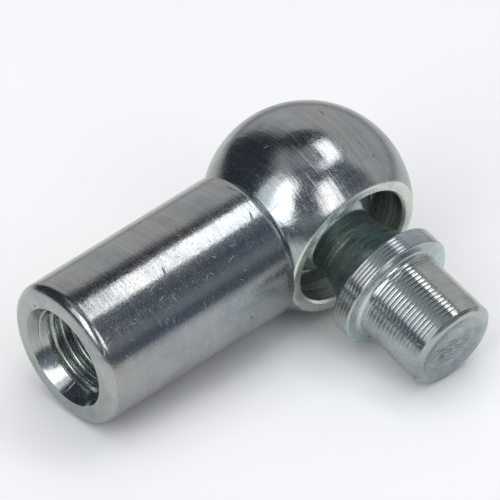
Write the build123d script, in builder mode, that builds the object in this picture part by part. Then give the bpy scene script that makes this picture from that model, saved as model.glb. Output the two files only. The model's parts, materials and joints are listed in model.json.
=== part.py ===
"""Angle ball joint, 19 mm ball: a turned socket with a threaded shank, the snap ring
in its mouth, and a riveting ball stud. The joint lies on a level surface, touching it
with the head, the open end of the shank and the end of the rivet pin.

Row frame: +Z up, origin on the floor at the middle of the part's width and depth.
The shank runs towards -X and the stud towards -Y. All sizes are in millimetres.
"""
from build123d import *
from math import asin, atan2, cos, degrees, hypot, radians, sin, sqrt, tan
import os

# ---- Socket housing: head and shank --------------------------------------------------
head_radius = 15.0
shank_radius = 11.0
shank_length = 45.0  # head centre to the open end
shank_end_rounding = 1.6
shoulder_gap = 0.15  # between the mouth's rim and the end of the shank beside it
shoulder_rounding = 1.0

# ---- Rod thread: a fine metric thread, left as a plain bore at its minor diameter ----
thread_diameter = 14.0
thread_pitch = 1.5
thread_depth = 25.0  # open end to the end of the full bore
countersink_radius = 7.75
countersink_angle = 60.0  # included angle
drill_point_angle = 118.0  # included angle

# ---- Ball stud -----------------------------------------------------------------------
ball_radius = 9.5
neck_radius = 5.2
neck_rounding = 0.8  # inside corner between ball and neck
flare_start = 9.0  # ball centre to where the neck begins to widen
flare_lip = 0.75  # flat left between the flare and the collar's edge
seat_distance = 20.0  # ball centre to the collar's clamping face
collar_radius = 9.25
collar_thickness = 3.1
collar_edge_rounding = 0.3
pin_radius = 7.0
pin_length = 12.0
pin_root_rounding = 0.8
pin_end_chamfer = 0.5
dish_radius = 5.0
dish_depth = 1.1

# ---- Ball socket and its mouth -------------------------------------------------------
socket_inset = 0.75  # ball centre behind the head centre
mouth_distance = 9.9  # head centre to the turned face round the mouth
mouth_chamfer = 0.4
mouth_rim_rounding = 0.3
ball_clearance = 0.05  # radial, ball in its socket and in the ring

# ---- Snap ring -----------------------------------------------------------------------
wire_radius = 0.8
ring_height = 3.8  # ball centre to the ring's plane
ring_gap = 5.0
groove_clearance = 0.05  # round the wire in its groove

# ---- How the joint lies --------------------------------------------------------------
stud_droop = 3.5  # the stud hangs this far out of the mouth's axis, degrees

# Sizes that follow from the ones above
shoulder_distance = sqrt(head_radius**2 - mouth_distance**2) + shoulder_gap
bore_radius = thread_diameter / 2 - 5 / 8 * thread_pitch * sin(radians(60))
countersink_depth = (countersink_radius - bore_radius) / tan(radians(countersink_angle / 2))
drill_point_depth = bore_radius / tan(radians(drill_point_angle / 2))
socket_radius = ball_radius + ball_clearance
mouth_face = mouth_distance + socket_inset
ring_radius = sqrt((socket_radius + wire_radius) ** 2 - ring_height**2)
groove_radius = ring_radius + wire_radius + groove_clearance
groove_half_width = wire_radius + groove_clearance
collar_back = seat_distance - collar_thickness
pin_end = seat_distance + pin_length
neck_angle = degrees(asin(neck_radius / ball_radius))


def dip_to_floor(distance, radius, drop):
    """Angle below level of an axis, in radians, when a ring of this radius, centred
    this far along it, touches a floor that lies `drop` below the axis's start."""
    return asin(drop / hypot(distance, radius)) - atan2(radius, distance)


def reach(distance, radius, alignment):
    """How far such a ring reaches in a direction; alignment is the cosine of the
    angle between that direction and the axis."""
    return distance * alignment + radius * sqrt(1 - alignment**2)


# The shank's rounded end rests on the floor, and so does the edge of the rivet pin.
end_ring = (shank_length - shank_end_rounding, shank_radius - shank_end_rounding)
shank_dip = dip_to_floor(*end_ring, head_radius - shank_end_rounding)
pin_edge = (pin_end - pin_end_chamfer, pin_radius)
mouth_roll = 0.0
for _ in range(12):
    ball_height = head_radius + socket_inset * sin(mouth_roll) * cos(shank_dip)
    stud_dip = dip_to_floor(*pin_edge, ball_height)
    stud_roll = asin(sin(stud_dip) / cos(shank_dip))
    mouth_roll = stud_roll - radians(stud_droop)

# The origin lies midway between the furthest points of the part.
shank_reach = reach(*end_ring, cos(shank_dip)) + shank_end_rounding
pin_reach = max(
    reach(*pin_edge, cos(stud_roll)),
    reach(pin_end, pin_radius - pin_end_chamfer, cos(stud_roll)),
)
stud_reach = pin_reach - socket_inset * cos(mouth_roll)
head_centre = Vector((shank_reach - head_radius) / 2, (stud_reach - head_radius) / 2, head_radius)

# Section planes: local X runs along each axis, local Y is the radius
shank_axis = Vector(-cos(shank_dip), 0, -sin(shank_dip))
roll_axis = Axis((0, 0, 0), shank_axis)
mouth_axis = Vector(0, -1, 0).rotate(roll_axis, -degrees(mouth_roll))
stud_axis = Vector(0, -1, 0).rotate(roll_axis, -degrees(stud_roll))
ball_centre = head_centre - mouth_axis * socket_inset
shank_section = Plane(head_centre, x_dir=shank_axis, z_dir=(0, 1, 0))
mouth_section = Plane(ball_centre, x_dir=mouth_axis, z_dir=shank_axis)
stud_section = Plane(ball_centre, x_dir=stud_axis, z_dir=shank_axis)
mouth_plane = Plane(head_centre + mouth_axis * mouth_distance, z_dir=mouth_axis)
ring_plane = Plane(ball_centre + mouth_axis * ring_height, x_dir=mouth_section.y_dir, z_dir=mouth_axis)


def corner(sketch, point):
    """The vertex of a sketch nearest to a point of its own plane."""
    return sketch.vertices().sort_by_distance(Vector(point))[0]


# ---- Socket housing ------------------------------------------------------------------
with BuildPart() as socket_housing:
    # Head with the flat face of its mouth
    with BuildSketch(shank_section):
        with BuildLine():
            half_head = CenterArc((0, 0), head_radius, 0, 180)
            Line(half_head @ 1, half_head @ 0)
        make_face()
    revolve(axis=Axis(head_centre, shank_axis))
    split(bisect_by=mouth_plane, keep=Keep.BOTTOM)
    fillet(socket_housing.faces().filter_by(mouth_plane).edges(), mouth_rim_rounding)

    # Shank, turned in one piece with the head
    with BuildSketch(shank_section) as shank_half:
        with Locations((shoulder_distance, 0)):
            Rectangle(shank_length - shoulder_distance, shank_radius, align=Align.MIN)
        fillet(corner(shank_half, (shank_length, shank_radius)), shank_end_rounding)
        fillet(corner(shank_half, (shoulder_distance, shank_radius)), shoulder_rounding)
    revolve(axis=Axis(head_centre, shank_axis))

    # Countersunk blind bore for the rod
    with BuildSketch(shank_section):
        with BuildLine():
            Polyline(
                (shank_length, 0),
                (shank_length, countersink_radius),
                (shank_length - countersink_depth, bore_radius),
                (shank_length - thread_depth, bore_radius),
                (shank_length - thread_depth - drill_point_depth, 0),
                close=True,
            )
        make_face()
    revolve(axis=Axis(head_centre, shank_axis), mode=Mode.SUBTRACT)

    # Chamfered mouth, ball socket with a round bottom, and the snap ring's groove
    with BuildSketch(mouth_section):
        with BuildLine():
            seat = CenterArc((0, 0), socket_radius, 90, 90)
            Polyline(
                seat @ 0,
                (mouth_face - mouth_chamfer, socket_radius),
                (mouth_face, socket_radius + mouth_chamfer),
                (mouth_face, 0),
                seat @ 1,
            )
        make_face()
        with Locations((ring_height, 0)):
            Rectangle(2 * groove_half_width, groove_radius, align=(Align.CENTER, Align.MIN))
    revolve(axis=Axis(ball_centre, mouth_axis), mode=Mode.SUBTRACT)

# ---- Snap ring: round wire bent to an open ring --------------------------------------
gap_angle = degrees(ring_gap / ring_radius)
with BuildPart() as snap_ring:
    with BuildLine(ring_plane) as wire_path:
        CenterArc((0, 0), ring_radius, gap_angle / 2, 360 - gap_angle)
    with BuildSketch(Plane(wire_path.line @ 0, z_dir=wire_path.line % 0)):
        Circle(wire_radius)
    sweep()

# ---- Ball stud: ball, neck, collar and rivet pin in one piece ------------------------
with BuildPart() as ball_stud:
    with BuildSketch(stud_section) as stud_half:
        with BuildLine():
            ball = CenterArc((0, 0), ball_radius, 180, neck_angle - 180)
            neck = Line(ball @ 1, (flare_start, neck_radius))
            flare = TangentArc(neck @ 1, (collar_back, collar_radius - flare_lip), tangent=(1, 0))
            dish = TangentArc((pin_end - dish_depth, 0), (pin_end, dish_radius), tangent=(0, 1))
            Polyline(
                flare @ 1,
                (collar_back, collar_radius),
                (seat_distance, collar_radius),
                (seat_distance, pin_radius),
                (pin_end - pin_end_chamfer, pin_radius),
                (pin_end, pin_radius - pin_end_chamfer),
                dish @ 1,
            )
            Line(dish @ 0, ball @ 0)
        make_face()
        fillet(corner(stud_half, ball @ 1), neck_rounding)
        fillet(corner(stud_half, (collar_back, collar_radius)), collar_edge_rounding)
        fillet(corner(stud_half, (seat_distance, collar_radius)), collar_edge_rounding)
        fillet(corner(stud_half, (seat_distance, pin_radius)), pin_root_rounding)
    revolve(axis=Axis(ball_centre, stud_axis))

# ---- Export --------------------------------------------------------------------------
os.makedirs("parts", exist_ok=True)
socket_housing.part.label = "socket_housing"
export_step(socket_housing.part, "parts/socket_housing.step")
snap_ring.part.label = "snap_ring"
export_step(snap_ring.part, "parts/snap_ring.step")
ball_stud.part.label = "ball_stud"
export_step(ball_stud.part, "parts/ball_stud.step")
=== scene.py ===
"""Angle ball joint: a turned socket on a threaded shank, the snap ring in its mouth and
the ball stud that the ring holds, bright zinc plated, on a plain studio floor."""

import json
import math

import bpy
from bpy.props import FloatProperty, FloatVectorProperty, PointerProperty
from mathutils import Matrix, Vector


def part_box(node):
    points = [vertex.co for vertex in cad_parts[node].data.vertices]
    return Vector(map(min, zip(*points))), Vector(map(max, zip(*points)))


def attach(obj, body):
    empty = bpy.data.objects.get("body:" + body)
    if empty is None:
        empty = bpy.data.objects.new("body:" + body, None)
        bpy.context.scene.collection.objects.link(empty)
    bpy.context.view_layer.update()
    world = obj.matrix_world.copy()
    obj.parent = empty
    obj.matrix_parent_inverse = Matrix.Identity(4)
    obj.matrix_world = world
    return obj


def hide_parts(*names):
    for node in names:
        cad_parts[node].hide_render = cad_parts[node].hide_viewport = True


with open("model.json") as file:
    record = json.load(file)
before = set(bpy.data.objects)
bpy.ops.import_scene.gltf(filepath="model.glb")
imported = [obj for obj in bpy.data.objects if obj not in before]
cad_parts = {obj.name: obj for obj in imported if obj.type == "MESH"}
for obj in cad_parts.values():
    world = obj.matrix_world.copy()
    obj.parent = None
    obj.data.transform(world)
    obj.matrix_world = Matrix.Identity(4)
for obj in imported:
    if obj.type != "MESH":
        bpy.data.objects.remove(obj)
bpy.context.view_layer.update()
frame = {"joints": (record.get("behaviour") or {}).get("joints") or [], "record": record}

bl_info = {
    "name": "Angle Ball Joint",
    "version": (1, 0, 0),
    "blender": (4, 5, 0),
    "location": "View3D > Sidebar > Ball Joint",
    "description": "Threaded socket, snap ring and rivet stud of an angle ball joint",
    "category": "Object",
}

MM = 0.001
TURN = 2 * math.pi
SKIN = 0.012 * MM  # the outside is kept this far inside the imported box
LAMP_DISTANCE = 1.6

# Where the pieces stand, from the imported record
record = frame["record"]
joints = {joint["name"]: joint for joint in frame["joints"]}
mounts = {mount["name"]: mount for mount in record["mounts"]}
MOUTH_AXIS = Vector(joints["stud_turn"]["axis"]).normalized()
RING_CENTRE = Vector(joints["stud_turn"]["pos_m"])
SHANK_AXIS = Vector(joints["stud_tilt"]["axis"]).normalized()
BALL_CENTRE = Vector(joints["stud_tilt"]["pos_m"])
STUD_AXIS = Vector(mounts["rivet_pin"]["axis"]).normalized()
HOUSING_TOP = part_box("socket_housing")[1]


class SocketSizes(bpy.types.PropertyGroup):
    """Sizes of the socket and its threaded shank."""
    head_radius: FloatProperty(
        name="Head radius", description="Radius of the round head",
        default=15 * MM, unit="LENGTH")
    mouth_distance: FloatProperty(
        name="Mouth distance", description="From the head's centre to the flat round its mouth",
        default=9.9 * MM, unit="LENGTH")
    socket_radius: FloatProperty(
        name="Socket radius", description="Radius of the hollow that holds the ball",
        default=9.55 * MM, unit="LENGTH")
    groove_radius: FloatProperty(
        name="Groove radius", description="Radius of the groove that holds the snap ring",
        default=10.477 * MM, unit="LENGTH")
    groove_width: FloatProperty(
        name="Groove width", description="Width of the snap ring's groove",
        default=1.7 * MM, unit="LENGTH")
    shank_radius: FloatProperty(
        name="Shank radius", description="Radius of the round shank",
        default=11 * MM, unit="LENGTH")
    shank_length: FloatProperty(
        name="Shank length", description="From the head's centre to the open end",
        default=45 * MM, unit="LENGTH")
    end_rounding: FloatProperty(
        name="End rounding", description="Rounding of the open end's outer edge",
        default=1.6 * MM, unit="LENGTH")
    countersink_radius: FloatProperty(
        name="Countersink radius", description="Widest radius of the countersink",
        default=7.75 * MM, unit="LENGTH")
    thread_radius: FloatProperty(
        name="Thread radius", description="Outer radius of the thread's grooves",
        default=7 * MM, unit="LENGTH")
    thread_pitch: FloatProperty(
        name="Thread pitch", description="Distance from one turn of the thread to the next",
        default=1.5 * MM, unit="LENGTH")
    thread_depth: FloatProperty(
        name="Thread depth", description="Depth of the full bore",
        default=25 * MM, unit="LENGTH")


class StudSizes(bpy.types.PropertyGroup):
    """Sizes of the ball stud and its snap ring."""
    ball_radius: FloatProperty(
        name="Ball radius", description="Radius of the ball",
        default=9.5 * MM, unit="LENGTH")
    neck_radius: FloatProperty(
        name="Neck radius", description="Radius of the neck behind the ball",
        default=5.2 * MM, unit="LENGTH")
    seat_distance: FloatProperty(
        name="Seat distance", description="From the ball's centre to the collar's clamping face",
        default=20 * MM, unit="LENGTH")
    collar_radius: FloatProperty(
        name="Collar radius", description="Radius of the collar",
        default=9.25 * MM, unit="LENGTH")
    collar_thickness: FloatProperty(
        name="Collar thickness", description="Thickness of the collar",
        default=3.1 * MM, unit="LENGTH")
    pin_radius: FloatProperty(
        name="Pin radius", description="Radius over the pin's turned ridges",
        default=7 * MM, unit="LENGTH")
    pin_length: FloatProperty(
        name="Pin length", description="Length of the rivet pin",
        default=12 * MM, unit="LENGTH")
    ridge_pitch: FloatProperty(
        name="Ridge pitch", description="Distance between the turned ridges on the pin",
        default=0.675 * MM, unit="LENGTH")
    ridge_depth: FloatProperty(
        name="Ridge depth", description="Depth of the turned ridges on the pin",
        default=0.028 * MM, unit="LENGTH")
    wire_radius: FloatProperty(
        name="Wire radius", description="Radius of the snap ring's wire",
        default=0.8 * MM, unit="LENGTH")
    ring_radius: FloatProperty(
        name="Ring radius", description="Radius of the snap ring at the middle of its wire",
        default=9.627 * MM, unit="LENGTH")
    ring_gap: FloatProperty(
        name="Ring gap", description="Opening between the snap ring's ends",
        default=5 * MM, unit="LENGTH")


class Finish(bpy.types.PropertyGroup):
    """Colours of the plated steel; the thread, face, rim, seat and neck colours are painted lighter
    for light, and the tarnish colour also gives painted shade in grooves.
    """
    socket_colour: FloatVectorProperty(
        name="Socket colour", description="Zinc plating of the socket",
        subtype="COLOR", size=3, min=0, max=1, default=(0.425, 0.44, 0.45))
    stud_colour: FloatVectorProperty(
        name="Stud colour", description="Zinc plating of the stud",
        subtype="COLOR", size=3, min=0, max=1, default=(0.52, 0.57, 0.575))
    bore_colour: FloatVectorProperty(
        name="Bore colour", description="Plating inside the mouth",
        subtype="COLOR", size=3, min=0, max=1, default=(0.42, 0.41, 0.34))
    # Painted light: the thread is the socket's plating painted far lighter, which stands in for
    # light inside the bore; its green tint is the plating's
    painted_light_thread_colour: FloatVectorProperty(
        name="Thread colour", description="Plating in the threaded bore",
        subtype="COLOR", size=3, min=0, max=1, default=(0.76, 0.84, 0.78))
    # Painted light: flat faces across the axis, such as the ends and the dish, get their own
    # colour, lighter than the socket's plating, for the light they catch
    painted_light_faced_colour: FloatVectorProperty(
        name="Faced colour", description="Plating on the flat end faces",
        subtype="COLOR", size=3, min=0, max=1, default=(0.50, 0.545, 0.55))
    # Painted reflection: the flat round the mouth is painted near white, which stands in for the
    # bright surroundings it reflects
    painted_light_rim_colour: FloatVectorProperty(
        name="Rim colour", description="Plating on the flat round the mouth",
        subtype="COLOR", size=3, min=0, max=1, default=(0.90, 0.91, 0.86))
    # Painted light: the collar's clamping face is painted lighter than the stud's plating for the
    # light it catches; its teal tint is the plating's
    painted_light_seat_colour: FloatVectorProperty(
        name="Seat colour", description="Plating on the collar's clamping face",
        subtype="COLOR", size=3, min=0, max=1, default=(0.76, 0.87, 0.88))
    # Painted light: the neck is painted far lighter than the stud's plating, which stands in for
    # light that falls on it; its green tint is the plating's
    painted_light_neck_colour: FloatVectorProperty(
        name="Neck colour", description="Plating on the stud's neck",
        subtype="COLOR", size=3, min=0, max=1, default=(0.56, 0.82, 0.80))
    ring_colour: FloatVectorProperty(
        name="Ring colour", description="Spring wire of the snap ring",
        subtype="COLOR", size=3, min=0, max=1, default=(0.52, 0.50, 0.46))
    # Tarnish in cloudy patches and fine specks, which also serves as painted shade in the grooves
    # of the tool marks
    tarnish_and_groove_shade: FloatVectorProperty(
        name="Tarnish colour", description="Darker cloudy patches in the plating",
        subtype="COLOR", size=3, min=0, max=1, default=(0.28, 0.31, 0.35))


class Studio(bpy.types.PropertyGroup):
    """The floor, the lamps and the camera."""
    floor_colour: FloatVectorProperty(
        name="Floor colour", description="Colour of the plain floor",
        subtype="COLOR", size=3, min=0, max=1, default=(0.83, 0.83, 0.81))
    lamp_radiance: FloatProperty(
        name="Lamp radiance", description="Brightness of the soft lamps", default=2.8, min=0)
    ceiling_radiance: FloatProperty(
        name="Ceiling radiance", description="Brightness of the ceiling over the floor",
        default=1.2, min=0)
    camera_azimuth: FloatProperty(
        name="Camera azimuth", description="Turn of the camera round the part",
        default=math.radians(-39.87), subtype="ANGLE")
    camera_elevation: FloatProperty(
        name="Camera elevation", description="Height of the camera as an angle",
        default=math.radians(36.63), subtype="ANGLE")
    camera_roll: FloatProperty(
        name="Camera roll", description="Tilt of the picture",
        default=math.radians(1.15), subtype="ANGLE")
    camera_distance: FloatProperty(
        name="Camera distance", description="From the camera to the part",
        default=0.947, unit="LENGTH")
    camera_aim: FloatVectorProperty(
        name="Camera aim", description="The point in the middle of the picture",
        subtype="XYZ", unit="LENGTH", size=3, default=(6.734 * MM, 10.878 * MM, 10.115 * MM))
    camera_lens: FloatProperty(
        name="Camera lens", description="Focal length in millimetres",
        default=482.4, min=1)


# ---- Modelling helpers ---------------------------------------------------------------

def pick_only(piece):
    """Deselects everything, then selects one piece and makes it active."""
    bpy.ops.object.select_all(action="DESELECT")
    piece.select_set(True)
    bpy.context.view_layer.objects.active = piece


class Outline:
    """Half a turned section, drawn point by point. X runs along the axis, Z outwards."""

    def __init__(self, name, x, r):
        bpy.ops.object.select_all(action="DESELECT")
        bpy.ops.mesh.primitive_plane_add(size=MM, location=(0, 0, 0))
        self.piece = bpy.context.object
        self.piece.name = self.piece.data.name = name
        bpy.ops.object.mode_set(mode="EDIT")
        bpy.ops.mesh.select_mode(type="VERT")
        bpy.ops.mesh.select_all(action="SELECT")
        bpy.ops.mesh.merge(type="CENTER")
        bpy.ops.transform.translate(value=(x, 0, r))
        self.x, self.r = x, r
        self.roundings = []

    def line(self, x, r, rounding=0.0, segments=5):
        """A straight line to a point, whose corner is rounded at the end."""
        bpy.ops.mesh.extrude_region_move(
            TRANSFORM_OT_translate={"value": (x - self.x, 0, r - self.r)})
        self.x, self.r = x, r
        if rounding:
            self.roundings.append((x, r, rounding, segments))

    def arc(self, x, r, angle, steps):
        """Turns the last point about (x, r); a positive angle turns it from Z to -X."""
        bpy.ops.mesh.spin(steps=steps, angle=angle, center=(x, 0, r), axis=(0, 1, 0))
        dx, dr = self.x - x, self.r - r
        self.x = x + dx * math.cos(angle) - dr * math.sin(angle)
        self.r = r + dx * math.sin(angle) + dr * math.cos(angle)

    def ridges(self, x_end, pitch, depth, points=10, sharpness=5, fade=0.0):
        """Fine grooves along a cylinder, whose lands keep its radius; a higher sharpness
        gives wider lands, and fade makes the grooves shallower towards the end."""
        land, start = self.r, self.x
        count = round((x_end - start) / pitch)
        for step in range(1, count * points + 1):
            along = step / (count * points)
            groove = (0.5 - 0.5 * math.cos(TURN * step / points)) ** sharpness
            self.line(
                start + (x_end - start) * along, land - depth * groove * (1 - fade * along))

    def round_corners(self):
        """Bevels each marked corner of the outline."""
        for x, r, size, segments in self.roundings:
            bpy.ops.mesh.select_all(action="DESELECT")
            bpy.ops.object.mode_set(mode="OBJECT")
            corner = Vector((x, 0, r))
            nearest = min(self.piece.data.vertices, key=lambda v: (v.co - corner).length)
            nearest.select = True
            bpy.ops.object.mode_set(mode="EDIT")
            bpy.ops.mesh.bevel(
                offset=size, offset_type="OFFSET", segments=segments, affect="VERTICES")

    def turn(self, steps):
        """Spins the outline about X into a closed solid and leaves edit mode."""
        self.round_corners()
        bpy.ops.mesh.select_all(action="SELECT")
        bpy.ops.mesh.spin(steps=steps, angle=TURN, center=(0, 0, 0), axis=(1, 0, 0))
        bpy.ops.mesh.select_all(action="SELECT")
        bpy.ops.mesh.remove_doubles(threshold=1e-6)
        bpy.ops.mesh.normals_make_consistent(inside=False)
        bpy.ops.object.mode_set(mode="OBJECT")
        return self.piece


def put_in_frame(piece, origin, axis, up):
    """Moves a piece from its own axes to its place; the place ends up in its mesh."""
    up = (up - axis * up.dot(axis)).normalized()
    side = up.cross(axis)
    piece.matrix_world = (
        Matrix.Translation(origin) @ Matrix((axis, side, up)).transposed().to_4x4())
    pick_only(piece)
    bpy.ops.object.transform_apply(location=True, rotation=True, scale=True)


def combine(piece, tool, operation):
    """A boolean of two closed solids, after which the tool is gone."""
    modifier = piece.modifiers.new("Combine", "BOOLEAN")
    modifier.operation = operation
    modifier.solver = "EXACT"
    modifier.object = tool
    pick_only(piece)
    bpy.ops.object.modifier_apply(modifier=modifier.name)
    bpy.data.objects.remove(tool)


def smooth(piece, angle):
    """Shades a piece smooth, with edges sharper than the angle kept."""
    pick_only(piece)
    bpy.ops.object.shade_smooth_by_angle(angle=angle)


# ---- Material helpers ----------------------------------------------------------------

class Nodes:
    """Adds and links the nodes of one material or world."""

    def __init__(self, tree):
        self.tree = tree
        tree.nodes.clear()

    def add(self, kind, inputs=None, output=0, **settings):
        """A node with its settings; inputs maps a socket to a value or to a link."""
        made = self.tree.nodes.new("ShaderNode" + kind)
        for name, value in settings.items():
            setattr(made, name, value)
        for socket, value in (inputs or {}).items():
            if isinstance(value, bpy.types.NodeSocket):
                self.tree.links.new(value, made.inputs[socket])
            else:
                made.inputs[socket].default_value = value
        return made.outputs[output] if made.outputs else None

    def math(self, operation, a, b=0.0, c=0.0):
        """A sum on numbers."""
        return self.add("Math", {0: a, 1: b, 2: c}, operation=operation)

    def vector(self, operation, a, b=(0, 0, 0), output=0):
        """A sum on vectors."""
        return self.add("VectorMath", {0: a, 1: b}, output=output, operation=operation)

    def smoothstep(self, value, low, high, to_low=0.0, to_high=1.0):
        """Goes softly from one value to another between two limits."""
        return self.add(
            "MapRange", {0: value, 1: low, 2: high, 3: to_low, 4: to_high},
            interpolation_type="SMOOTHSTEP")

    def mix(self, share, a, b):
        """A colour that goes from a to b."""
        return self.add("Mix", {0: share, 6: a, 7: b}, output=2, data_type="RGBA")


def rgba(colour):
    """A colour with the fourth value that sockets want."""
    return (*colour[:3], 1)


def turned_zinc(name, centre, axis, colour, roughness, rings, grain, wear=1.0, pits=1.0,
                painted_ring_shade=0.2, tint=0.5, reach=11 * MM, line=22 * MM, hatch=0.0, painted_light_face=None,
                marks=()):
    """Plated steel over a turned surface, as a material on object coordinates.

    rings is (spacing, depth) of the tool marks round the axis, painted_ring_shade how much they
    show in the colour as painted shade in their grooves and painted glints on their crests,
    grain the depth of the plating's fine bumps, wear how many scratches show, whose lighter
    colour is a painted glint, pits how rough its fine specks are, tint how much its colour
    drifts, reach the radius at which lengths are true, line how long the tool marks stay
    whole, hatch how dark the straight pressed lines are and painted_light_face the colour of
    faces across the axis, painted lighter for the light they catch. marks lists
    single marks as (outline, angle, length, width, direction, strength), where a strength
    below 0 is a dark mark."""
    finish = bpy.context.scene.joint_finish
    material = bpy.data.materials.new(name)
    material.use_nodes = True
    n = Nodes(material.node_tree)
    place = n.add("TexCoord", output="Object")
    local = n.add("Mapping", {
        "Vector": place, "Location": centre,
        "Rotation": axis.to_track_quat("X", "Z").to_euler()}, vector_type="TEXTURE")
    x, y, z = (n.add("SeparateXYZ", {0: local}, output=i) for i in range(3))
    across = n.vector("MULTIPLY", local, (0, 1, 1))
    radius = n.vector("LENGTH", across, output="Value")
    ragged = n.add("TexNoise", {"Vector": local, "Scale": 1500, "Detail": 2}, output=1)
    unrolled = n.add("CombineXYZ", {
        0: n.math("ADD", x, radius),
        1: n.math("MULTIPLY", n.math("ARCTAN2", y, z), reach)})
    unrolled = n.vector(
        "ADD", unrolled, n.vector("MULTIPLY", ragged, (0.16 * MM, 0.16 * MM, 0)))
    spacing, ring_depth = rings

    def ring_noise(width, detail, length):
        """Noise in rings round the axis, the sum of one along it and one outwards."""
        slow = n.vector("MULTIPLY", across, (1 / length,) * 3)
        pair = []
        for run in (x, radius):
            fast = n.add("CombineXYZ", {0: n.math("MULTIPLY", run, 1 / width)})
            pair.append(n.add("TexNoise", {
                "Vector": n.vector("ADD", fast, slow), "Scale": 1, "Detail": detail,
                "Roughness": 0.6}))
        return n.math("SUBTRACT", n.math("ADD", *pair), 1.0)

    def scratches(direction, length, width, share):
        """Sparse fine scratches in one direction: 1 on a scratch, 0 beside it."""
        core = 0.12  # a cell's share that its scratch takes up
        turned = n.add("Mapping", {
            "Vector": unrolled, "Rotation": (0, 0, direction),
            "Scale": (length / core, width / core, 1)}, vector_type="TEXTURE")
        cells = n.add("TexVoronoi", {"Vector": turned, "Scale": 1}, voronoi_dimensions="2D")
        lot = n.add("SeparateXYZ", {0: cells.node.outputs["Color"]})
        return n.math(
            "MULTIPLY", n.smoothstep(cells, 0.04, 0.08, 1, 0),
            n.math("LESS_THAN", lot, share))

    def mark(outline, angle, length, width, direction):
        """One mark, by its middle, its size and its direction."""
        inside = n.add("Mapping", {
            "Vector": unrolled, "Location": (outline, math.radians(angle) * reach, 0),
            "Rotation": (0, 0, math.radians(direction)), "Scale": (length, width, 1)},
            vector_type="TEXTURE")
        return n.smoothstep(n.vector("LENGTH", inside, output="Value"), 0.25, 0.55, 1, 0)

    fine = ring_noise(spacing, 3, line)
    deep = ring_noise(spacing * 2.6, 1, 30 * MM)
    comb = ring_noise(spacing * 0.7, 2, 1.6 * MM)
    bumps = n.add("TexNoise", {"Vector": local, "Scale": 2600, "Detail": 3, "Roughness": 0.65})
    waves = n.add("TexNoise", {"Vector": local, "Scale": 420, "Detail": 2})
    grit = n.add("TexNoise", {"Vector": local, "Scale": 4600, "Detail": 2, "Roughness": 0.7})
    clouds = n.add("TexNoise", {"Vector": local, "Scale": 170, "Detail": 5, "Roughness": 0.62})
    drift = n.add("TexNoise", {"Vector": local, "Scale": 75, "Detail": 2})
    spots = n.add("TexVoronoi", {"Vector": local, "Scale": 330, "Randomness": 1})
    chosen = n.add("TexNoise", {"Vector": local, "Scale": 500, "Detail": 1})
    dark = n.math(
        "MULTIPLY", n.smoothstep(spots, 0.05, 0.10, 1, 0), n.smoothstep(chosen, 0.58, 0.62))
    # Scratches, single light marks and light specks: the scratches and marks are real wear, and the
    # lighter colour they get below is a painted glint, as is the colour of the specks
    scratches_and_glints = n.math(
        "MULTIPLY", n.smoothstep(comb, 0.27, 0.40), n.smoothstep(waves, 0.46, 0.60, 0, 0.6))
    for direction, length, width in ((0.35, 1.3, 0.07), (1.45, 1.0, 0.07), (2.4, 0.6, 0.08)):
        scratches_and_glints = n.math("MAXIMUM", scratches_and_glints, scratches(
            direction, length * MM, width * MM, 0.11 * wear))
    for *shape, strength in marks:
        single = n.math("MULTIPLY", mark(*shape), abs(strength))
        if strength < 0:
            dark = n.math("MAXIMUM", dark, single)
        else:
            scratches_and_glints = n.math("MAXIMUM", scratches_and_glints, single)
    if hatch:
        # Short straight lines, on the lower half of a face and darkest at its middle
        pressed = n.add("Mapping", {
            "Vector": local, "Rotation": (math.radians(-4), 0, 0),
            "Scale": (1, 1.5 * MM, 0.15 * MM)}, vector_type="TEXTURE")
        pressed = n.add("TexNoise", {"Vector": pressed, "Scale": 1, "Detail": 2})
        low = n.smoothstep(z, -0.9 * MM, 0.6 * MM, 1, 0)
        inner = n.smoothstep(radius, 1.2 * MM, 4.6 * MM, 1, 0.25)
        pressed = n.math("MULTIPLY", n.smoothstep(pressed, 0.50, 0.60), low)
        dark = n.math("MAXIMUM", dark, n.math(
            "MULTIPLY", n.math("MULTIPLY", pressed, inner), hatch))
    pitted = n.smoothstep(grit, 0.55, 0.74)

    normal = n.add("TexCoord", output="Normal")
    facing = n.vector("DOT_PRODUCT", normal, tuple(axis), output="Value")
    painted_light_face = painted_light_face or finish.painted_light_faced_colour
    # Faces across the axis take painted light: a lighter colour by the way they face
    base = n.mix(n.smoothstep(facing, 0.2, 0.85), rgba(colour), rgba(painted_light_face))
    base = n.mix(n.smoothstep(clouds, 0.42, 0.68, 0, 0.6), base, rgba(finish.tarnish_and_groove_shade))
    # Painted shade and painted glints: the tool-mark rings are painted darker in their grooves and
    # lighter on their crests
    base = n.mix(n.smoothstep(fine, -0.25, 0.0, painted_ring_shade, 0), base, rgba(finish.tarnish_and_groove_shade))
    base = n.mix(n.smoothstep(fine, 0.03, 0.15, 0, 0.8 * painted_ring_shade), base, (0.80, 0.84, 0.80, 1))
    warm = n.mix(n.smoothstep(drift, 0.35, 0.65), (0.93, 1.0, 1.05, 1), (1.06, 1.0, 0.92, 1))
    base = n.add(
        "Mix", {0: tint, 6: base, 7: warm}, output=2, data_type="RGBA", blend_type="MULTIPLY")
    base = n.mix(n.smoothstep(grit, 0.30, 0.46, 0.35, 0), base, rgba(finish.tarnish_and_groove_shade))
    # Dark marks: specks, smudges, nicks and pressed lines, and painted shade where a dent is listed
    base = n.mix(n.math("MULTIPLY", dark, 0.65), base, (0.13, 0.12, 0.11, 1))
    # Painted glint: scratches, light marks and specks are painted lighter
    base = n.mix(n.math("MULTIPLY", scratches_and_glints, 0.6), base, (0.74, 0.76, 0.77, 1))

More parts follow.
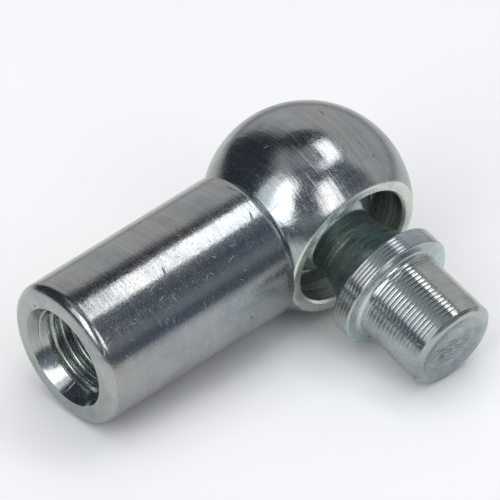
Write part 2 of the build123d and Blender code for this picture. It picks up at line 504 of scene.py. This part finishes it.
    rough = n.math("MULTIPLY_ADD", clouds, 0.14, roughness - 0.07)
    rough = n.math("MULTIPLY_ADD", comb, 0.22, rough)
    rough = n.math("MULTIPLY_ADD", pitted, 0.32 * pits, rough)
    rough = n.math("MULTIPLY_ADD", n.math("ADD", dark, scratches_and_glints), 0.30, rough)
    height = n.math("MULTIPLY", fine, ring_depth)
    height = n.math("MULTIPLY_ADD", deep, ring_depth * 1.6, height)
    height = n.math("MULTIPLY_ADD", bumps, grain, height)
    height = n.math("MULTIPLY_ADD", waves, grain * 2.0, height)
    height = n.math("MULTIPLY_ADD", n.math("ADD", dark, scratches_and_glints), -0.008 * MM, height)
    bumped = n.add("Bump", {"Strength": 1.0, "Distance": 1.0, "Height": height})
    round_axis = n.vector("CROSS_PRODUCT", tuple(axis), n.vector("SUBTRACT", place, centre))
    across_rings = n.vector("CROSS_PRODUCT", round_axis, normal)
    brushed = n.add(
        "VectorTransform", {0: across_rings},
        vector_type="VECTOR", convert_from="OBJECT", convert_to="WORLD")
    shader = n.add("BsdfPrincipled", {
        "Base Color": base, "Metallic": 1.0,
        "Roughness": n.math("MAXIMUM", rough, 0.10), "Normal": bumped,
        "Anisotropic": 0.3, "Tangent": brushed})
    n.add("OutputMaterial", {"Surface": shader})
    return material


def finish_faces(piece, materials, pick):
    """Gives a piece its materials; pick says which one a face has by its middle."""
    piece.data.materials.clear()
    for material in materials:
        piece.data.materials.append(material)
    for face in piece.data.polygons:
        face.material_index = pick(face.center.x, math.hypot(face.center.y, face.center.z))


# ---- Operators -----------------------------------------------------------------------

class JOINT_OT_socket(bpy.types.Operator):
    """Model the socket: round head, hollow with its groove, and the threaded shank"""
    bl_idname = "ball_joint.socket"
    bl_label = "Socket"

    # Single marks of wear, where light ones are painted lighter as a painted glint: distance along
    # the axis plus distance from it, angle from the top, length, width, direction from the axis,
    # and strength
    WEAR = (
        # Fine scratches on the shank's side, by its open end and halfway, with a dull spot, painted
        # lighter as a painted glint
        (42 * MM, 50, 1.3 * MM, 0.1 * MM, 110, 0.7),
        (36 * MM, 50, 1.5 * MM, 0.1 * MM, 40, 0.8),
        (35 * MM, 50, 0.9 * MM, 0.1 * MM, 120, 0.6),
        (30 * MM, 40, 1.3 * MM, 0.4 * MM, -20, 0.35),
        # A dent in the shank, painted dark as painted shade, smudges beside the head and one lower
        # down
        (41 * MM, 30, 1.7 * MM, 0.3 * MM, 75, -1),
        (24 * MM, 0, 2.2 * MM, 0.3 * MM, 100, -1),
        (25 * MM, 30, 2.2 * MM, 0.3 * MM, 70, -0.9),
        (31 * MM, 100, 1.2 * MM, 0.4 * MM, 120, -0.9),
        # Long scratches across the head, painted lighter as a painted glint, and three dark marks
        # on its far half
        (18 * MM, 20, 6 * MM, 0.1 * MM, 90, 0.6),
        (19 * MM, 40, 6 * MM, 0.1 * MM, 90, 0.6),
        (10 * MM, 0, 1.3 * MM, 0.5 * MM, 80, -0.8),
        (9 * MM, 30, 1.5 * MM, 0.4 * MM, 120, -0.7),
        (8 * MM, 40, 0.5 * MM, 0.5 * MM, 0, -1))

    def execute(self, context):
        s = context.scene.joint_socket
        head_centre = HOUSING_TOP - Vector((1, 1, 1)) * s.head_radius
        inset = (head_centre - BALL_CENTRE).length

        # Head, turned about the mouth's axis; its outline starts at the back
        rim_radius = math.sqrt(s.head_radius ** 2 - s.mouth_distance ** 2)
        face = inset + s.mouth_distance
        ring_distance = (RING_CENTRE - BALL_CENTRE).length
        chamfer = 0.4 * MM
        rim_angle = math.pi - math.atan2(rim_radius, s.mouth_distance)
        last_step = math.radians(2.5)
        head = Outline("socket_body", inset - s.head_radius + SKIN, 0)
        head.arc(inset, 0, -(rim_angle - last_step), 84)
        head.line(face, rim_radius, rounding=0.3 * MM)
        head.line(face, s.socket_radius + chamfer, rounding=0.06 * MM, segments=2)
        head.line(face - chamfer, s.socket_radius, rounding=0.06 * MM, segments=2)
        head.line(ring_distance + s.groove_width / 2, s.socket_radius)
        head.line(ring_distance + s.groove_width / 2, s.groove_radius)
        head.line(ring_distance - s.groove_width / 2, s.groove_radius)
        head.line(ring_distance - s.groove_width / 2, s.socket_radius)
        head.line(0, s.socket_radius)
        head.arc(0, 0, math.pi / 2, 32)
        body = head.turn(256)
        finish = context.scene.joint_finish
        head_zinc, shank_zinc = (
            turned_zinc(
                name, head_centre, SHANK_AXIS, finish.socket_colour, roughness=0.185,
                rings=rings, grain=0.0115 * MM, pits=0.8, marks=self.WEAR)
            for name, rings in (
                ("head_zinc", (0.26 * MM, 0.012 * MM)), ("shank_zinc", (0.20 * MM, 0.004 * MM))))
        bored = turned_zinc(
            "bored_zinc", BALL_CENTRE, MOUTH_AXIS, finish.bore_colour,
            roughness=0.30, rings=(0.22 * MM, 0.050 * MM), grain=0.012 * MM, wear=0.5,
            painted_ring_shade=1.0)
        # The thread's colour is painted light inside the bore
        threaded = turned_zinc(
            "threaded_zinc_painted_light", head_centre, SHANK_AXIS, finish.painted_light_thread_colour,
            roughness=0.22, rings=(0.16 * MM, 0.005 * MM), grain=0.012 * MM, wear=0.3)
        # The flat round the mouth takes the painted reflection of the rim colour
        rim = turned_zinc(
            "rim_zinc_painted_light", BALL_CENTRE, MOUTH_AXIS, finish.socket_colour,
            roughness=0.24, rings=(0.25 * MM, 0.010 * MM), grain=0.012 * MM,
            painted_light_face=finish.painted_light_rim_colour)
        finishes = (head_zinc, bored, threaded, shank_zinc, rim)
        inside = s.socket_radius + 0.2 * chamfer

        def head_finish(x, r):
            if x > face - 0.9 * chamfer:
                return 4
            return 1 if r < inside and math.hypot(x - inset, r) < s.head_radius - 0.5 * MM else 0

        finish_faces(body, finishes, head_finish)
        put_in_frame(body, BALL_CENTRE, MOUTH_AXIS, Vector((0, 0, 1)))

        # Shank with its countersunk blind bore, down to the thread's minor diameter
        root_start, root_radius = s.groove_radius + 0.3 * MM, 9 * MM
        shoulder = rim_radius + 0.15 * MM
        end = s.shank_length - SKIN
        crest_radius = s.thread_radius - 5 / 8 * s.thread_pitch * math.sin(math.radians(60))
        sink_depth = (s.countersink_radius - crest_radius) / math.tan(math.radians(30))
        bore_end = end - s.thread_depth
        point_depth = crest_radius / math.tan(math.radians(59))
        shank = Outline("shank", root_start, 0)
        shank.line(root_start, root_radius)
        shank.line(shoulder, root_radius)
        shank.line(shoulder, s.shank_radius - SKIN, rounding=1.0 * MM, segments=8)
        shank.line(end, s.shank_radius - SKIN, rounding=s.end_rounding, segments=12)
        shank.line(end, s.countersink_radius, rounding=0.12 * MM, segments=3)
        shank.line(end - sink_depth, crest_radius)
        shank.line(bore_end, crest_radius)
        shank.line(bore_end - point_depth, 0)
        solid = shank.turn(256)
        finish_faces(
            solid, finishes, lambda x, r: 2 if r < crest_radius + 0.01 * MM else 3)

        # The thread's grooves, cut with a right-hand screw
        flank = math.tan(math.radians(60))
        half_pitch = s.thread_pitch / 2
        root = s.thread_pitch / 16
        crest = crest_radius + 0.02 * MM
        foot = root + (s.thread_radius - crest) / flank
        turns = int(s.thread_depth / s.thread_pitch) + 3
        start = bore_end - 1.5 * s.thread_pitch
        tap = Outline("tap", start - half_pitch, crest)
        tap.line(start - foot, crest, rounding=0.16 * MM, segments=4)
        tap.line(start - root, s.thread_radius, rounding=0.05 * MM, segments=2)
        tap.line(start + root, s.thread_radius, rounding=0.05 * MM, segments=2)
        tap.line(start + foot, crest, rounding=0.16 * MM, segments=4)
        tap.line(start + half_pitch, crest)
        tap.round_corners()
        bpy.ops.object.mode_set(mode="OBJECT")
        screw = tap.piece.modifiers.new("Screw", "SCREW")
        screw.axis = "X"
        screw.steps = screw.render_steps = 128
        screw.screw_offset = s.thread_pitch
        screw.iterations = turns
        screw.use_merge_vertices = True
        screw.merge_threshold = 1e-6
        pick_only(tap.piece)
        bpy.ops.object.modifier_apply(modifier=screw.name)
        bpy.ops.object.mode_set(mode="EDIT")
        for cut, way in ((bore_end + s.thread_pitch / 2, -1), (end - 0.3 * MM, 1)):
            bpy.ops.mesh.select_all(action="SELECT")
            bpy.ops.mesh.bisect(
                plane_co=(cut, 0, 0), plane_no=(way, 0, 0), use_fill=True, clear_outer=True,
                threshold=1e-7)
        bpy.ops.mesh.select_all(action="SELECT")
        bpy.ops.mesh.remove_doubles(threshold=1e-6)
        bpy.ops.mesh.normals_make_consistent(inside=False)
        bpy.ops.object.mode_set(mode="OBJECT")
        finish_faces(tap.piece, finishes, lambda x, r: 2)
        combine(solid, tap.piece, "DIFFERENCE")
        put_in_frame(solid, head_centre, SHANK_AXIS, Vector((0, 0, 1)))
        combine(body, solid, "UNION")

        smooth(body, math.radians(28))
        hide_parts("socket_housing")
        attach(body, "housing")
        return {"FINISHED"}


class JOINT_OT_ring(bpy.types.Operator):
    """Bend the snap ring from round wire, with its gap at the top"""
    bl_idname = "ball_joint.ring"
    bl_label = "Snap ring"

    def execute(self, context):
        s = context.scene.joint_stud
        gap = s.ring_gap / s.ring_radius
        bpy.ops.object.select_all(action="DESELECT")
        bpy.ops.mesh.primitive_circle_add(
            vertices=32, radius=s.wire_radius, fill_type="NOTHING",
            location=(0, 0, s.ring_radius), rotation=(math.pi / 2, 0, 0))
        ring = context.object
        ring.name = ring.data.name = "spring_wire"
        bpy.ops.object.transform_apply(location=True, rotation=True, scale=True)
        bpy.ops.object.mode_set(mode="EDIT")
        bpy.ops.mesh.select_all(action="SELECT")
        bpy.ops.mesh.spin(steps=144, angle=TURN - gap, center=(0, 0, 0), axis=(1, 0, 0))
        # Both ends are closed, and their cut edges are broken
        bpy.ops.mesh.select_all(action="DESELECT")
        bpy.ops.mesh.select_mode(type="EDGE")
        bpy.ops.mesh.select_non_manifold()
        bpy.ops.mesh.fill_holes(sides=0)
        bpy.ops.mesh.bevel(offset=0.12 * MM, segments=3, affect="EDGES")
        bpy.ops.mesh.select_all(action="SELECT")
        bpy.ops.mesh.normals_make_consistent(inside=False)
        bpy.ops.object.mode_set(mode="OBJECT")
        # The wire's middle lies opposite its gap, which is turned to the top
        middle = sum((v.co for v in ring.data.vertices), Vector())
        ring.data.transform(Matrix.Rotation(math.atan2(-middle.y, -middle.z), 4, "X"))
        top = SHANK_AXIS.cross(MOUTH_AXIS)
        put_in_frame(ring, RING_CENTRE, MOUTH_AXIS, top)
        smooth(ring, math.radians(35))
        ring.data.materials.clear()
        ring.data.materials.append(turned_zinc(
            "spring_steel", RING_CENTRE, MOUTH_AXIS, context.scene.joint_finish.ring_colour,
            roughness=0.28, rings=(0.3 * MM, 0.003 * MM), grain=0.008 * MM, wear=0.4))
        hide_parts("snap_ring")
        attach(ring, "ring")
        return {"FINISHED"}


class JOINT_OT_stud(bpy.types.Operator):
    """Turn the ball stud: ball, neck, collar and the ridged rivet pin"""
    bl_idname = "ball_joint.stud"
    bl_label = "Ball stud"

    # Nicks along the pin's outer edge, in the same terms as the socket's wear
    NICKS = (
        (38.6 * MM, -15, 3.2 * MM, 0.25 * MM, 90, -1),
        (38.6 * MM, 25, 2.4 * MM, 0.15 * MM, 90, -0.7),
        (38.6 * MM, -115, 1.4 * MM, 0.1 * MM, 90, -0.6))

    def execute(self, context):
        s = context.scene.joint_stud
        neck_angle = math.asin(s.neck_radius / s.ball_radius)
        collar_back = s.seat_distance - s.collar_thickness
        pin_end = s.seat_distance + s.pin_length - SKIN
        last_step = math.radians(6)

        stud = Outline("rivet_stud", -s.ball_radius, 0)
        stud.arc(0, 0, -(math.pi - neck_angle - last_step), 64)
        stud.line(s.ball_radius * math.cos(neck_angle), s.neck_radius, rounding=0.4 * MM)
        # The neck widens in an arc that starts along it
        flare_start, flare_lip = 9 * MM, s.collar_radius - 0.75 * MM
        run, rise = collar_back - flare_start, flare_lip - s.neck_radius
        flare_radius = (run ** 2 + rise ** 2) / (2 * rise)
        stud.ridges(flare_start, 0.35 * MM, 0.02 * MM, points=6, sharpness=1)
        stud.arc(
            flare_start, s.neck_radius + flare_radius,
            math.asin(run / flare_radius), 28)
        stud.line(collar_back, s.collar_radius, rounding=0.3 * MM)
        stud.line(collar_back + 0.35 * MM, s.collar_radius)
        stud.ridges(s.seat_distance - 0.4 * MM, 0.58 * MM, 0.018 * MM)
        stud.line(s.seat_distance, s.collar_radius, rounding=0.3 * MM)
        stud.line(s.seat_distance, s.pin_radius, rounding=0.8 * MM, segments=8)
        # A thin groove round the pin's root, then its ridges up to a plain end
        root_end = s.seat_distance + 1.0 * MM
        stud.line(root_end, s.pin_radius)
        stud.line(root_end + 0.12 * MM, s.pin_radius - 0.07 * MM)
        stud.line(root_end + 0.24 * MM, s.pin_radius)
        stud.ridges(pin_end - 1.2 * MM, s.ridge_pitch, s.ridge_depth, fade=0.5)
        stud.line(pin_end - 0.5 * MM, s.pin_radius)
        stud.line(pin_end, s.pin_radius - 0.5 * MM, rounding=0.15 * MM, segments=3)
        dish_radius, dish_depth = 5.6 * MM, 1.1 * MM
        stud.line(pin_end, dish_radius, rounding=0.15 * MM, segments=3)
        hollow = (dish_radius ** 2 + dish_depth ** 2) / (2 * dish_depth)
        spread = math.asin(dish_radius / hollow)
        stud.arc(pin_end - dish_depth + hollow, 0, spread, 24)
        body = stud.turn(224)
        finish = context.scene.joint_finish
        zinc = turned_zinc(
            "stud_zinc", BALL_CENTRE, STUD_AXIS, finish.stud_colour,
            roughness=0.205, rings=(0.18 * MM, 0.007 * MM), grain=0.005 * MM,
            pits=0.5, reach=7 * MM, marks=self.NICKS)
        # The neck's colour is painted light
        neck = turned_zinc(
            "neck_zinc_painted_light", BALL_CENTRE, STUD_AXIS, finish.painted_light_neck_colour,
            roughness=0.32, rings=(0.15 * MM, 0.030 * MM), grain=0.030 * MM,
            painted_ring_shade=1.0, reach=6 * MM, line=6 * MM)
        # The dish takes the painted light of the face colour
        pressed = turned_zinc(
            "dish_zinc", BALL_CENTRE, STUD_AXIS, finish.painted_light_faced_colour,
            roughness=0.24, rings=(0.30 * MM, 0.014 * MM), grain=0.020 * MM,
            painted_ring_shade=0.3, reach=4 * MM, hatch=1.4)
        neck_from = s.ball_radius * math.cos(neck_angle) - 0.1 * MM
        # The collar's clamping face takes the painted light of the seat colour
        seat = turned_zinc(
            "seat_zinc_painted_light", BALL_CENTRE, STUD_AXIS, finish.stud_colour,
            roughness=0.24, rings=(0.25 * MM, 0.008 * MM), grain=0.010 * MM,
            reach=8 * MM, painted_light_face=finish.painted_light_seat_colour)

        def stud_finish(x, r):
            if neck_from < x < collar_back - 0.05 * MM:
                return 1
            if x > pin_end - dish_depth and r < dish_radius - 0.2 * MM:
                return 2
            on_seat = collar_back + 0.5 * MM < x < s.seat_distance + 0.8 * MM
            return 3 if on_seat and r < s.collar_radius - 0.1 * MM else 0

        finish_faces(body, (zinc, neck, pressed, seat), stud_finish)
        put_in_frame(body, BALL_CENTRE, STUD_AXIS, Vector((0, 0, 1)))
        smooth(body, math.radians(32))
        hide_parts("ball_stud")
        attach(body, "stud")
        return {"FINISHED"}


def heading(azimuth, elevation):
    """The direction from the part to a place, given by its angles."""
    return Vector((
        math.sin(azimuth) * math.cos(elevation), -math.cos(azimuth) * math.cos(elevation),
        math.sin(elevation)))


class JOINT_OT_stage(bpy.types.Operator):
    """Set the plain floor, the soft lamps, the surroundings and the camera"""
    bl_idname = "ball_joint.stage"
    bl_label = "Stage"

    def execute(self, context):
        studio = context.scene.joint_studio
        bpy.ops.object.select_all(action="DESELECT")
        bpy.ops.mesh.primitive_grid_add(x_subdivisions=8, y_subdivisions=8, size=8)
        floor = context.object
        floor.name = "studio_floor"
        material = bpy.data.materials.new("floor_paper")
        material.use_nodes = True
        n = Nodes(material.node_tree)
        # Painted shade: the floor is painted darker away from the part, which stands in for light
        # falling off and shows in the metal's reflections; camera rays see it white
        away = n.vector("LENGTH", n.add("TexCoord", output="Object"), output="Value")
        shade = n.smoothstep(away, 0.05, 0.32, 0.0, 0.6)
        paper = n.mix(shade, rgba(studio.floor_colour), (0, 0, 0, 1))
        paper = n.mix(n.add("LightPath"), paper, (1, 1, 1, 1))
        shader = n.add("BsdfDiffuse", {"Color": paper})
        n.add("OutputMaterial", {"Surface": shader})
        floor.data.materials.append(material)

        # Upright lamps: azimuth and its half width, lowest and highest elevation, share
        for name, azimuth, half, low, high, share in (
                ("left", -74, 14, 15, 60, 1.0),
                ("left_spill", -99, 11, 22, 60, 0.33),
                ("front", -6, 15, 26, 58, 0.8)):
            self.upright_lamp(name, azimuth, half, low, high, studio.lamp_radiance * share)
        # Lamps overhead: middle and size, on a plane one lamp distance up
        self.overhead_lamp("overhead", (0.43, -0.07), (0.25, 0.48), studio.lamp_radiance * 1.15)
        self.overhead_lamp("overhead_end", (0.17, -0.29), (0.28, 0.16), studio.lamp_radiance * 0.45)
        ceiling = self.overhead_lamp("ceiling", (0, 0), (1.2, 1.2), studio.ceiling_radiance)
        ceiling.visible_glossy = False
        self.surroundings(context.scene)
        self.camera(context.scene, studio)
        context.scene.view_settings.view_transform = "Standard"
        return {"FINISHED"}

    def upright_lamp(self, name, azimuth, half, low, high, radiance):
        """A soft lamp on a stand that faces the part, between two elevations."""
        foot, top = (LAMP_DISTANCE * math.tan(math.radians(a)) for a in (low, high))
        place = heading(math.radians(azimuth), 0) * LAMP_DISTANCE
        place.z = (foot + top) / 2
        size = (2 * LAMP_DISTANCE * math.tan(math.radians(half)), top - foot)
        facing = Vector((-place.x, -place.y, 0)).to_track_quat("-Z", "Y")
        return self.lamp(name, place, facing, size, radiance)

    def overhead_lamp(self, name, middle, size, radiance):
        """A soft lamp that faces straight down."""
        place = Vector((*middle, 1)) * LAMP_DISTANCE
        return self.lamp(
            name, place, Matrix.Identity(3).to_quaternion(),
            [side * LAMP_DISTANCE for side in size], radiance)

    def lamp(self, name, place, facing, size, radiance):
        """An area lamp that the camera doesn't see."""
        data = bpy.data.lights.new(name, "AREA")
        data.shape = "RECTANGLE"
        data.size, data.size_y = size
        data.energy = radiance * size[0] * size[1] * math.pi
        lamp = bpy.data.objects.new(name, data)
        bpy.context.scene.collection.objects.link(lamp)
        lamp.location = place
        lamp.rotation_euler = facing.to_euler()
        lamp.visible_camera = False
        return lamp

    def surroundings(self, scene):
        """A dim room: a pale wall on the far side, dark curtains on the near side."""
        world = bpy.data.worlds.new("studio_room")
        world.use_nodes = True
        scene.world = world
        n = Nodes(world.node_tree)
        direction = n.add("TexCoord", output="Generated")
        x, y, z = (n.add("SeparateXYZ", {0: direction}, output=i) for i in range(3))
        azimuth = n.math(
            "MULTIPLY", n.math("ARCTAN2", x, n.math("MULTIPLY", y, -1.0)), 180 / math.pi)
        elevation = n.math("MULTIPLY", n.math("ARCSINE", z), 180 / math.pi)

        def zone(left, right, bottom, top, soft=6):
            """1 between two azimuths and two elevations, fading at its edges."""
            sides = n.math(
                "MULTIPLY", n.smoothstep(azimuth, left - soft, left + soft),
                n.smoothstep(azimuth, right - soft, right + soft, 1, 0))
            ends = n.math(
                "MULTIPLY", n.smoothstep(elevation, bottom - soft, bottom + soft),
                n.smoothstep(elevation, top - soft, top + soft, 1, 0))
            return n.math("MULTIPLY", sides, ends)

        room = n.mix(
            n.smoothstep(n.math("ABSOLUTE", azimuth), 70, 130),
            (0.10, 0.125, 0.165, 1), (0.04, 0.048, 0.062, 1))
        for area, colour in (
                ((-60, 56, 14, 29, 4), (0.24, 0.27, 0.30)),
                ((56, 171, -90, 52, 4), (0.565, 0.57, 0.565)),
                ((-165, -80, 58, 76, 6), (0.38, 0.41, 0.44)),
                ((-190, 190, 78, 95, 4), (0.34, 0.37, 0.39))):
            room = n.mix(zone(*area), room, rgba(colour))
        n.add("OutputWorld", {"Surface": n.add("Background", {"Color": room, "Strength": 1.0})})

    def camera(self, scene, studio):
        """A long lens at the viewing angle, aimed a little beside the part's middle."""
        back = heading(studio.camera_azimuth, studio.camera_elevation)
        turned = (
            Matrix.Rotation(studio.camera_azimuth, 4, "Z")
            @ Matrix.Rotation(math.pi / 2 - studio.camera_elevation, 4, "X")
            @ Matrix.Rotation(-studio.camera_roll, 4, "Z"))
        aim = Vector(studio.camera_aim)
        data = bpy.data.cameras.new("camera")
        data.lens = studio.camera_lens
        data.clip_start, data.clip_end = 0.05, 20
        camera = bpy.data.objects.new("camera", data)
        scene.collection.objects.link(camera)
        camera.matrix_world = Matrix.Translation(aim + back * studio.camera_distance) @ turned
        scene.camera = camera


class JOINT_PT_panel(bpy.types.Panel):
    """Lists the steps that build the joint"""
    bl_idname = "JOINT_PT_panel"
    bl_label = "Angle Ball Joint"
    bl_space_type = "VIEW_3D"
    bl_region_type = "UI"
    bl_category = "Ball Joint"

    def draw(self, context):
        for operator in OPERATORS:
            self.layout.operator(operator.bl_idname)
        for name in PROPERTIES:
            box = self.layout.box()
            group = getattr(context.scene, name)
            for key in group.bl_rna.properties.keys():
                if key not in ("rna_type", "name"):
                    box.prop(group, key)


OPERATORS = (JOINT_OT_socket, JOINT_OT_ring, JOINT_OT_stud, JOINT_OT_stage)
PROPERTIES = {
    "joint_socket": SocketSizes,
    "joint_stud": StudSizes,
    "joint_finish": Finish,
    "joint_studio": Studio,
}


def register():
    for cls in (*PROPERTIES.values(), *OPERATORS, JOINT_PT_panel):
        bpy.utils.register_class(cls)
    for name, group in PROPERTIES.items():
        setattr(bpy.types.Scene, name, PointerProperty(type=group))


def unregister():
    for name in PROPERTIES:
        delattr(bpy.types.Scene, name)
    for cls in reversed((*PROPERTIES.values(), *OPERATORS, JOINT_PT_panel)):
        bpy.utils.unregister_class(cls)


def main():
    register()
    bpy.ops.ball_joint.stage()
    bpy.ops.ball_joint.socket()
    bpy.ops.ball_joint.ring()
    bpy.ops.ball_joint.stud()


if __name__ == "__main__":
    main()
